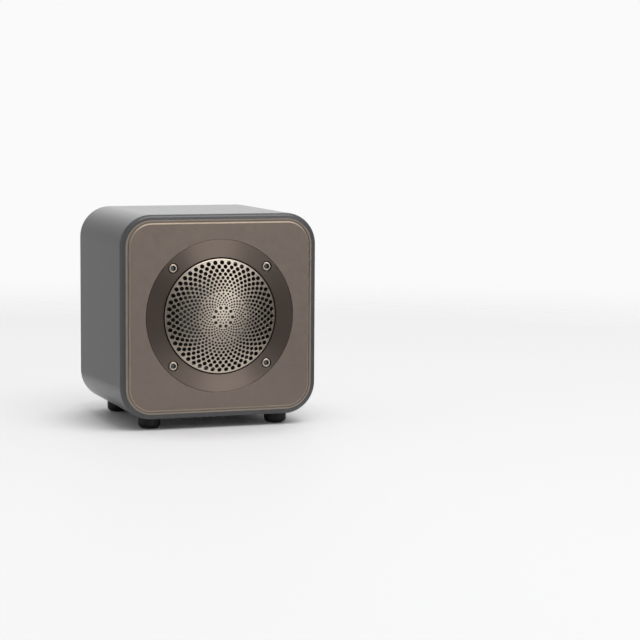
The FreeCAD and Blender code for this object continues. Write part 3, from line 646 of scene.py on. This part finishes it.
class Finish(Graph):
    """Material under construction: its principled shader and the nodes that feed it."""

    def __init__(self, name):
        self.material = bpy.data.materials.new(name)
        self.material.use_nodes = True
        super().__init__(self.material.node_tree)
        self.shader = self.tree.nodes["Principled BSDF"]
        self.place = self.tree.nodes.new("ShaderNodeTexCoord").outputs["Object"]

    def set(self, **values):
        """Sets constants on the shader."""
        for name, value in values.items():
            self.shader.inputs[name.replace("_", " ")].default_value = value

    def noise(self, scale, detail=2.0, stretch=None):
        """Noise over the piece's own coordinates, with features of about 1 / scale metres."""
        node = self.add("ShaderNodeTexNoise", Scale=scale, Detail=detail)
        source = self.place
        if stretch:
            mapping = self.add("ShaderNodeMapping", Scale=stretch)
            self.join(source, mapping.inputs["Vector"])
            source = mapping.outputs["Vector"]
        self.join(source, node.inputs["Vector"])
        return node.outputs["Fac"]

    def between(self, factor, low, high):
        """Number that follows a noise from low to high."""
        node = self.add(
            "ShaderNodeMapRange", From_Min=NOISE_LOW, From_Max=NOISE_HIGH, To_Min=low, To_Max=high)
        self.join(factor, node.inputs["Value"])
        return node.outputs["Result"]

    def tint(self, base, factor, spread):
        """Base colour that wanders a little darker and lighter with a factor."""
        node = self.tree.nodes.new("ShaderNodeMix")
        node.data_type = "RGBA"
        share, darker, lighter = (node.inputs[k] for k in (0, 6, 7))
        darker.default_value = (*(channel * (1 - spread) for channel in base), 1.0)
        lighter.default_value = (*(min(1.0, channel * (1 + spread)) for channel in base), 1.0)
        self.join(self.between(factor, 0.0, 1.0), share)
        self.join(node.outputs[2], self.shader.inputs["Base Color"])

    def roughen(self, middle, factor, spread):
        """Roughness that wanders about its middle with a factor."""
        rough = self.between(factor, middle - spread, middle + spread)
        self.join(rough, self.shader.inputs["Roughness"])

    def bump(self, height, depth):
        """Surface relief of this depth in metres."""
        node = self.add("ShaderNodeBump", Distance=depth)
        self.join(height, node.inputs["Height"])
        self.join(node.outputs["Normal"], self.shader.inputs["Normal"])


METAL = {"Metallic": 1.0}
# Simple finishes: constants of the shader, then the noise in its colour and in its roughness,
# as scale, detail and spread, and the scale and detail of its relief
SURFACES = {
    "blasted": (METAL, (1600.0, 2.0, 0.045), (300.0, 2.0, 0.012), None),
    "cut": (METAL, (300.0, 2.0, 0.05), (1500.0, 2.0, 0.04), None),
    "screw": (METAL, (1200.0, 2.0, 0.08), (800.0, 2.0, 0.05), None),
    "plated": (METAL, (220.0, 3.0, 0.08), (400.0, 2.0, 0.06), None),
    "pressed": (METAL, (500.0, 3.0, 0.05), (400.0, 2.0, 0.03), (3000.0, 1.0)),
    # wall: the near-black painted shade finish for walls that lie in shade
    "wall": ({}, (900.0, 2.0, 0.2), (600.0, 2.0, 0.08), None),
    "clear": (dict(IOR=1.49), (400.0, 2.0, 0.04), (900.0, 2.0, 0.05), None),
    "rubber": (
        dict(Specular_IOR_Level=0.32), (350.0, 3.0, 0.25), (500.0, 2.0, 0.06), (3000.0, 2.0)),
    "plastic": (dict(IOR=1.5), (120.0, 2.0, 0.12), (1500.0, 2.0, 0.05), (2200.0, 3.0)),
}


def surface(kind, name, base, roughness, microns=0):
    """Finish of a kind in the table, with a relief of this depth."""
    constants, (*clouds, tint), (*specks, play), grain = SURFACES[kind]
    finish = Finish(name)
    finish.set(**constants)
    finish.tint(base, finish.noise(*clouds), spread=tint)
    finish.roughen(roughness, finish.noise(*specks), spread=play)
    if microns:
        finish.bump(finish.noise(*grain), depth=microns * MICRON)
    return finish.material


def coated_metal(base):
    """Satin dark coating with a fine even grain."""
    finish = Finish("satin_coating")
    finish.set(IOR=1.45)
    finish.tint(base, finish.noise(900.0, detail=3.0, stretch=(1.0, 1.0, 0.2)), spread=0.04)
    finish.roughen(0.19, finish.noise(300.0, detail=3.0), spread=0.012)
    finish.bump(finish.noise(5200.0, detail=1.0), depth=1 * MICRON)
    return finish.material


def turned_bronze(base):
    """Lathe-turned face whose fine grooves spread the light across the ring."""
    finish = Finish("turned_bronze")
    finish.set(Metallic=1.0, Anisotropic=0.97, Anisotropic_Rotation=0.25)
    away = finish.add("ShaderNodeMapping", Location=(0.0, 0.0, -AXIS_HEIGHT))
    finish.join(finish.place, away.inputs["Vector"])
    flat = finish.add("ShaderNodeVectorMath")
    flat.operation = "MULTIPLY"
    flat.inputs[1].default_value = (1.0, 0.0, 1.0)
    finish.join(away.outputs["Vector"], flat.inputs[0])
    radius = finish.add("ShaderNodeVectorMath")
    radius.operation = "LENGTH"
    finish.join(flat.outputs["Vector"], radius.inputs[0])
    grooves = finish.add("ShaderNodeTexNoise", Scale=2600.0, Detail=2.0)
    grooves.noise_dimensions = "1D"
    finish.join(radius.outputs["Value"], grooves.inputs["W"])
    finish.tint(base, grooves.outputs["Fac"], spread=0.05)
    finish.roughen(0.52, grooves.outputs["Fac"], spread=0.04)
    tangent = finish.add("ShaderNodeTangent")
    tangent.direction_type = "RADIAL"
    tangent.axis = "Y"
    finish.join(tangent.outputs["Tangent"], finish.shader.inputs["Tangent"])
    return finish.material


def woven_cloth(name, base):
    """Impregnated cloth with a fine weave."""
    finish = Finish(name)
    weave = finish.add("ShaderNodeTexChecker", Scale=2400.0)
    finish.join(finish.place, weave.inputs["Vector"])
    finish.tint(base, finish.noise(900.0), spread=0.2)
    finish.roughen(0.75, finish.noise(500.0), spread=0.05)
    finish.bump(weave.outputs["Fac"], depth=40 * MICRON)
    return finish.material


def circuit_board():
    """Green board with lighter tracks under the lacquer."""
    finish = Finish("circuit_board")
    tracks = finish.add(
        "ShaderNodeTexBrick", Scale=260.0, Mortar_Size=0.03, Color1=(0.012, 0.075, 0.035, 1.0),
        Color2=(0.010, 0.060, 0.028, 1.0), Mortar=(0.040, 0.150, 0.070, 1.0))
    turned = finish.add("ShaderNodeMapping", Rotation=(math.pi / 2, 0.0, 0.0))
    finish.join(finish.place, turned.inputs["Vector"])
    finish.join(turned.outputs["Vector"], tracks.inputs["Vector"])
    finish.join(tracks.outputs["Color"], finish.shader.inputs["Base Color"])
    finish.roughen(0.32, finish.noise(600.0), spread=0.05)
    return finish.material


def wound_copper():
    """Enamelled wire laid turn by turn along the coil."""
    finish = Finish("wound_copper")
    finish.set(Metallic=1.0)
    turns = finish.add("ShaderNodeTexWave", Scale=700.0)
    turns.bands_direction = "Y"
    finish.join(finish.place, turns.inputs["Vector"])
    finish.tint((0.72, 0.30, 0.14), turns.outputs["Fac"], spread=0.15)
    finish.roughen(0.30, finish.noise(500.0), spread=0.05)
    finish.bump(turns.outputs["Fac"], depth=60 * MICRON)
    return finish.material


def dress(finish, *nodes):
    """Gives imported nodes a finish."""
    for node in nodes:
        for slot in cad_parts[node].material_slots:
            slot.material = finish


class SPEAKER_OT_cabinet(Operator):
    """Dress the cabinet shell and the feet"""
    bl_idname = "speaker.cabinet"
    bl_label = "Cabinet"

    def execute(self, context):
        finish = context.scene.speaker_finish
        dress(coated_metal(finish.shell), "enclosure_shell")
        feet = [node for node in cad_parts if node.startswith("foot_")]
        dress(surface("rubber", "foot_rubber", finish.rubber, 0.50, microns=20), *feet)
        return {"FINISHED"}


class SPEAKER_OT_front_panel(Operator):
    """Build the front panel with its lip, groove and bright chamfer"""
    bl_idname = "speaker.front_panel"
    bl_label = "Front Panel"

    def execute(self, context):
        finish = context.scene.speaker_finish
        # The groove is a slightly darker copy of the lip: painted shade in the groove
        groove = [GROOVE_PAINTED_SHADE * channel for channel in finish.lip]
        finishes = [
            surface("blasted", "blasted_field", finish.field, roughness=0.30),
            surface("cut", "bright_cut", finish.chamfer, roughness=0.74),
            surface("blasted", "bronze_groove_painted_shade", groove, roughness=0.45),
            surface("blasted", "bronze_lip", finish.lip, roughness=0.33),
        ]
        panel = draw_front_panel(context.scene.speaker_front).piece("bronze_front", finishes)
        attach(panel, "cabinet")
        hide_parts("front_panel")
        return {"FINISHED"}


class SPEAKER_OT_trim_ring(Operator):
    """Build the turned trim ring and the socket screws, front and rear"""
    bl_idname = "speaker.trim_ring"
    bl_label = "Trim Ring"

    def execute(self, context):
        finish = context.scene.speaker_finish
        front = context.scene.speaker_front
        # Near-black painted shade for the ring's bore, rabbet and counterbore walls
        shaded = surface("wall", "painted_shade_wall", finish.gap, roughness=0.7)
        finishes = [turned_bronze(finish.ring), shaded]
        ring = draw_trim_ring(front).piece("turned_ring", finishes)
        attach(ring, "cabinet")
        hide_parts("trim_ring")
        steel = surface("screw", "screw_steel", finish.screw, roughness=0.34)
        # Darker copy of the screw steel: painted shade in the countersinks and sockets
        socket = surface("plated", "screw_socket_painted_shade", finish.socket, roughness=0.42)
        for node, facing, head, height, shank in (
                ("ring_screws", -1,
                 front.ring_screw_head, front.ring_screw_height, front.ring_screw_shank),
                ("rear_screws", 1,
                 front.rear_screw_head, front.rear_screw_height, front.rear_screw_shank)):
            drawn = draw_screws(node, facing, head, height, shank, front)
            screws = drawn.piece(node.replace("screws", "socket_screws"), [steel, socket])
            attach(screws, "cabinet")
            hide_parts(node)
        return {"FINISHED"}


class SPEAKER_OT_grille(Operator):
    """Build the domed grille with all its round holes"""
    bl_idname = "speaker.grille"
    bl_label = "Grille"

    def execute(self, context):
        finish = context.scene.speaker_finish
        finishes = [
            surface("pressed", "pressed_steel", finish.grille, roughness=0.34, microns=2),
            # Near-black painted shade for the hole walls, the wall, the flange and the back of the
            # dome
            surface("wall", "painted_shade_wall", finish.gap, roughness=0.7),
        ]
        grille = draw_grille(context.scene.speaker_grille).piece("domed_grille", finishes)
        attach(grille, "cabinet")
        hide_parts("grille")
        return {"FINISHED"}


class SPEAKER_OT_rear(Operator):
    """Dress the rear panel, its buttons, socket and light"""
    bl_idname = "speaker.rear"
    bl_label = "Rear"

    def execute(self, context):
        finish = context.scene.speaker_finish
        moulding = surface("plastic", "rear_moulding", finish.moulding, 0.50, microns=30)
        dress(moulding, "rear_panel", "front_baffle")
        soften("rear_panel", context.scene.speaker_front.rear_round)
        buttons = [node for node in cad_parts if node.endswith("_button")]
        dress(surface("plastic", "button_cap", finish.button, 0.38, microns=6), *buttons)
        white = surface("plastic", "sign_white", finish.mark, 0.45, microns=4)
        for button in ("power", "volume_up", "volume_down"):
            sign = draw_sign(button).piece(button + "_sign", [white])
            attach(sign, button)
        dress(surface("plated", "socket_steel", (0.62, 0.62, 0.63), 0.28), "charging_socket")
        black = surface("plastic", "socket_tongue", (0.015, 0.015, 0.016), 0.4, microns=4)
        dress(black, "socket_tongue")
        dress(surface("clear", "clear_rod", (0.80, 0.83, 0.84), 0.30), "light_pipe")
        return {"FINISHED"}


class SPEAKER_OT_driver(Operator):
    """Dress the loudspeaker driver behind the grille"""
    bl_idname = "speaker.driver"
    bl_label = "Driver"

    def execute(self, context):
        cone = context.scene.speaker_finish.cone
        lacquer = surface("plastic", "cone_lacquer", cone, 0.42, microns=6)
        dress(lacquer, "driver_cone", "dust_cap")
        rubber = surface("rubber", "surround_rubber", (0.014, 0.014, 0.014), 0.5, microns=20)
        dress(rubber, "driver_surround")
        foam = surface("rubber", "gasket_foam", (0.03, 0.03, 0.03), 0.8, microns=20)
        dress(foam, "driver_gasket", "rear_gasket")
        dress(woven_cloth("spider_cloth", (0.40, 0.24, 0.07)), "driver_spider")
        former = surface("plastic", "coil_former", (0.35, 0.20, 0.07), 0.4, microns=4)
        dress(former, "voice_coil_former", "driver_terminal")
        dress(wound_copper(), "voice_coil", "terminal_tags")
        steel = surface("plated", "plated_steel", (0.56, 0.56, 0.58), 0.34)
        dress(steel, "driver_basket", "top_plate", "pole_yoke", "ring_nuts", "baffle_screws")
        dress(surface("plastic", "ferrite", (0.022, 0.022, 0.024), 0.62, microns=30), "magnet")
        return {"FINISHED"}


class SPEAKER_OT_electronics(Operator):
    """Dress the board, the battery and the leads"""
    bl_idname = "speaker.electronics"
    bl_label = "Electronics"

    def execute(self, context):
        dress(circuit_board(), "main_board", "radio_module", "battery_guard")
        tin = surface("plated", "shield_tin", (0.66, 0.66, 0.66), 0.30)
        dress(tin, "radio_shield", "board_screws")
        black = surface("plastic", "chip_black", (0.018, 0.018, 0.019), 0.48, microns=10)
        dress(black, "board_chips", "filter_inductors", "capacitors")
        dress(black, "button_switches", "battery_cradle")
        plungers = [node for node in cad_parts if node.endswith("_plunger")]
        white = surface("plastic", "white_plastic", (0.62, 0.61, 0.57), 0.42, microns=10)
        dress(white, "connectors", "status_light", *plungers)
        wrap = surface("plastic", "cell_wrap", (0.02, 0.09, 0.26), 0.34, microns=5)
        dress(wrap, "battery_cell")
        dress(woven_cloth("tape_foam", (0.70, 0.70, 0.68)), "cradle_tape")
        cover = surface("rubber", "lead_cover", (0.30, 0.012, 0.012), 0.45, microns=20)
        dress(cover, "speaker_leads", "battery_lead")
        return {"FINISHED"}


def studio_lamp(stage):
    """Rectangular softbox above the camera's side that looks at the speaker's middle."""
    lamp = bpy.data.lights.new("overhead_softbox", "AREA")
    lamp.shape = "RECTANGLE"
    lamp.size, lamp.size_y = stage.overhead_width, stage.overhead_depth
    lamp.energy = stage.overhead_power
    obj = bpy.data.objects.new("overhead_softbox", lamp)
    obj.location = stage.overhead_place
    obj.visible_camera = False
    sight = Vector((0.0, 0.0, AXIS_HEIGHT)) - Vector(stage.overhead_place)
    obj.rotation_euler = sight.to_track_quat("-Z", "Y").to_euler()
    bpy.context.scene.collection.objects.link(obj)


def studio_camera(stage):
    """Camera at the photograph's place and angle."""
    yaw, pitch, roll = stage.camera_yaw, stage.camera_pitch, stage.camera_roll
    level = math.cos(pitch)
    ahead = Vector((math.sin(yaw) * level, math.cos(yaw) * level, -math.sin(pitch)))
    right = ahead.cross(Vector((0, 0, 1))).normalized()
    up = right.cross(ahead)
    right, up = (
        right * math.cos(roll) + up * math.sin(roll), up * math.cos(roll) - right * math.sin(roll))
    lens = bpy.data.cameras.new("studio_camera")
    lens.sensor_fit = "HORIZONTAL"
    lens.sensor_width = stage.sensor
    lens.lens = stage.lens
    lens.clip_start = 0.01
    lens.clip_end = 100.0
    camera = bpy.data.objects.new("studio_camera", lens)
    turn = Matrix((right, up, -ahead)).transposed().to_4x4()
    camera.matrix_world = Matrix.Translation(stage.camera_place) @ turn
    bpy.context.scene.collection.objects.link(camera)
    bpy.context.scene.camera = camera


def studio_room(stage):
    """White room behind the speaker, dim on the camera's side, with plain white for the picture.

    Limits are shares of a direction's length: x to the right, y away from the camera, z up.
    """
    behind_y = (-0.05, 0.35)
    behind_left_x = (-0.4, 0.25)
    left_x = (-0.72, -0.95)
    shade_x, shade_z = (0.35, 0.85), (0.7, 0.25)
    strip_left, strip_right = (0.12, 0.24), (0.58, 0.42)
    strip_y, strip_foot_z = (-0.25, -0.5), (-0.45, 0.0)
    strip_dim_z, strip_dim = (0.15, 0.7), 0.62
    ceiling_left_x, ceiling_right_x, ceiling_z = (-0.7, -0.4), (0.98, 0.75), (0.2, 0.5)
    card_x = (-0.72, -0.9)
    mirrored_level = (0.8, 1.0)

    world = bpy.data.worlds.new("studio_room")
    bpy.context.scene.world = world
    world.use_nodes = True
    world.node_tree.nodes.clear()
    graph = Graph(world.node_tree)
    split = graph.add("ShaderNodeSeparateXYZ")
    graph.join(graph.add("ShaderNodeTexCoord").outputs["Generated"], split.inputs[0])
    x, y, z = split.outputs
    rays = graph.add("ShaderNodeLightPath").outputs
    glossy = rays["Is Glossy Ray"]

    # What lights the speaker: white behind and at the left, shaded low on the right
    across = graph.ramp(x, behind_left_x, stage.left_light, 1.0)
    behind = graph.times(graph.ramp(y, behind_y), across)
    left = graph.ramp(x, left_x, 0.0, stage.side_light)
    low_right = graph.times(graph.ramp(x, shade_x), graph.ramp(z, shade_z))
    open_share = graph.combine("SUBTRACT", 1.0, graph.times(low_right, stage.right_shade))
    bright = graph.times(graph.most(behind, left), open_share)
    matt = graph.combine("SUBTRACT", 1.0, glossy)
    front = graph.most(graph.times(matt, stage.front_light), stage.front_shade)
    level = graph.most(graph.times(bright, stage.back_light), front)

    # What the metals show besides: a leaning strip, a ceiling and a card on the left
    rightward = graph.combine("DIVIDE", x, graph.times(y, -1.0))
    slant = graph.combine("SUBTRACT", rightward, graph.times(z, stage.strip_lean))
    strip = graph.times(graph.ramp(slant, strip_left), graph.ramp(slant, strip_right))
    strip = graph.times(strip, graph.ramp(y, strip_y, 0.0, stage.strip_light))
    rise = graph.times(graph.ramp(z, strip_foot_z), graph.ramp(z, strip_dim_z, 1.0, strip_dim))
    strip = graph.times(strip, rise)
    ceiling = graph.times(graph.ramp(x, ceiling_left_x), graph.ramp(x, ceiling_right_x))
    ceiling = graph.times(ceiling, graph.ramp(z, ceiling_z, 0.0, stage.ceiling_light))
    card = graph.ramp(x, card_x, 0.0, stage.side_glow)
    glow = graph.most(graph.most(strip, ceiling), card)
    level = graph.most(level, graph.times(glow, glossy))

    room = graph.add("ShaderNodeBackground", Color=WHITE)
    graph.join(level, room.inputs["Strength"])
    white = graph.add("ShaderNodeBackground", Color=WHITE, Strength=stage.background)
    mirrored = graph.times(glossy, graph.ramp(bright, mirrored_level))
    direct = graph.most(rays["Is Camera Ray"], rays["Is Transmission Ray"])
    graph.mix(graph.most(direct, mirrored), room, white, graph.add("ShaderNodeOutputWorld"))


def studio_floor(stage):
    """Pale floor that fades into the white background away from the speaker."""
    near, near_share, far = (0.04, 0.08), 0.55, (0.1, 0.75)
    metal_fade = (0.05, 0.16)
    reach = stage.floor_reach
    mesh = bpy.data.meshes.new("floor")
    corners = [(-reach, -reach, 0), (reach, -reach, 0), (reach, reach, 0), (-reach, reach, 0)]
    mesh.from_pydata(corners, [], [(0, 1, 2, 3)])
    floor = bpy.data.objects.new("floor", mesh)
    bpy.context.scene.collection.objects.link(floor)
    finish = Finish("pale_floor")
    finish.tint(stage.floor, finish.noise(3.0), spread=0.01)
    finish.set(Roughness=0.55, IOR=1.3)
    distance = finish.add("ShaderNodeVectorMath")
    distance.operation = "LENGTH"
    finish.join(finish.place, distance.inputs[0])
    away = distance.outputs["Value"]
    rays = finish.add("ShaderNodeLightPath").outputs
    clearing = finish.most(finish.ramp(away, near, 0.0, near_share), finish.ramp(away, far))
    in_picture = finish.times(clearing, rays["Is Camera Ray"])
    in_metal = finish.times(finish.ramp(away, metal_fade), rays["Is Glossy Ray"])
    clear = finish.add("ShaderNodeBsdfTransparent")
    output = finish.tree.nodes["Material Output"]
    finish.mix(finish.most(in_picture, in_metal), finish.shader, clear, output)
    mesh.materials.append(finish.material)


class SPEAKER_OT_stage(Operator):
    """Set up the camera, the room, the floor and the softbox"""
    bl_idname = "speaker.stage"
    bl_label = "Stage"

    def execute(self, context):
        stage = context.scene.speaker_stage
        studio_camera(stage)
        studio_room(stage)
        studio_floor(stage)
        studio_lamp(stage)
        context.scene.view_settings.view_transform = "Standard"
        return {"FINISHED"}


class SPEAKER_PT_looks(Panel):
    """Lists the speaker's operators"""
    bl_idname = "SPEAKER_PT_looks"
    bl_label = "Speaker Looks"
    bl_space_type = "VIEW_3D"
    bl_region_type = "UI"
    bl_category = "Speaker"

    def draw(self, context):
        for operator in OPERATORS:
            self.layout.operator(operator.bl_idname)


SETTINGS = {
    "speaker_grille": SpeakerGrilleSettings,
    "speaker_front": SpeakerFrontSettings,
    "speaker_finish": SpeakerFinishSettings,
    "speaker_stage": SpeakerStageSettings,
}
OPERATORS = (
    SPEAKER_OT_cabinet,
    SPEAKER_OT_front_panel,
    SPEAKER_OT_trim_ring,
    SPEAKER_OT_grille,
    SPEAKER_OT_rear,
    SPEAKER_OT_driver,
    SPEAKER_OT_electronics,
    SPEAKER_OT_stage,
)
CLASSES = (*SETTINGS.values(), *OPERATORS, SPEAKER_PT_looks)


def register():
    """Adds the classes and the scene's settings."""
    for item in CLASSES:
        bpy.utils.register_class(item)
    for name, group in SETTINGS.items():
        setattr(bpy.types.Scene, name, PointerProperty(type=group))


def unregister():
    """Takes the settings and the classes away again."""
    for name in SETTINGS:
        delattr(bpy.types.Scene, name)
    for item in reversed(CLASSES):
        bpy.utils.unregister_class(item)


def clear_startup():
    """Removes the start-up scene's own objects, where there are any."""
    for name in ("Cube", "Light", "Camera"):
        leftover = bpy.data.objects.get(name)
        if leftover:
            bpy.data.objects.remove(leftover)


def main():
    """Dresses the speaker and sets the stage."""
    clear_startup()
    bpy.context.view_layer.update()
    register()
    bpy.ops.speaker.cabinet()
    bpy.ops.speaker.front_panel()
    bpy.ops.speaker.trim_ring()
    bpy.ops.speaker.grille()
    bpy.ops.speaker.rear()
    bpy.ops.speaker.driver()
    bpy.ops.speaker.electronics()
    bpy.ops.speaker.stage()


if __name__ == "__main__":
    main()
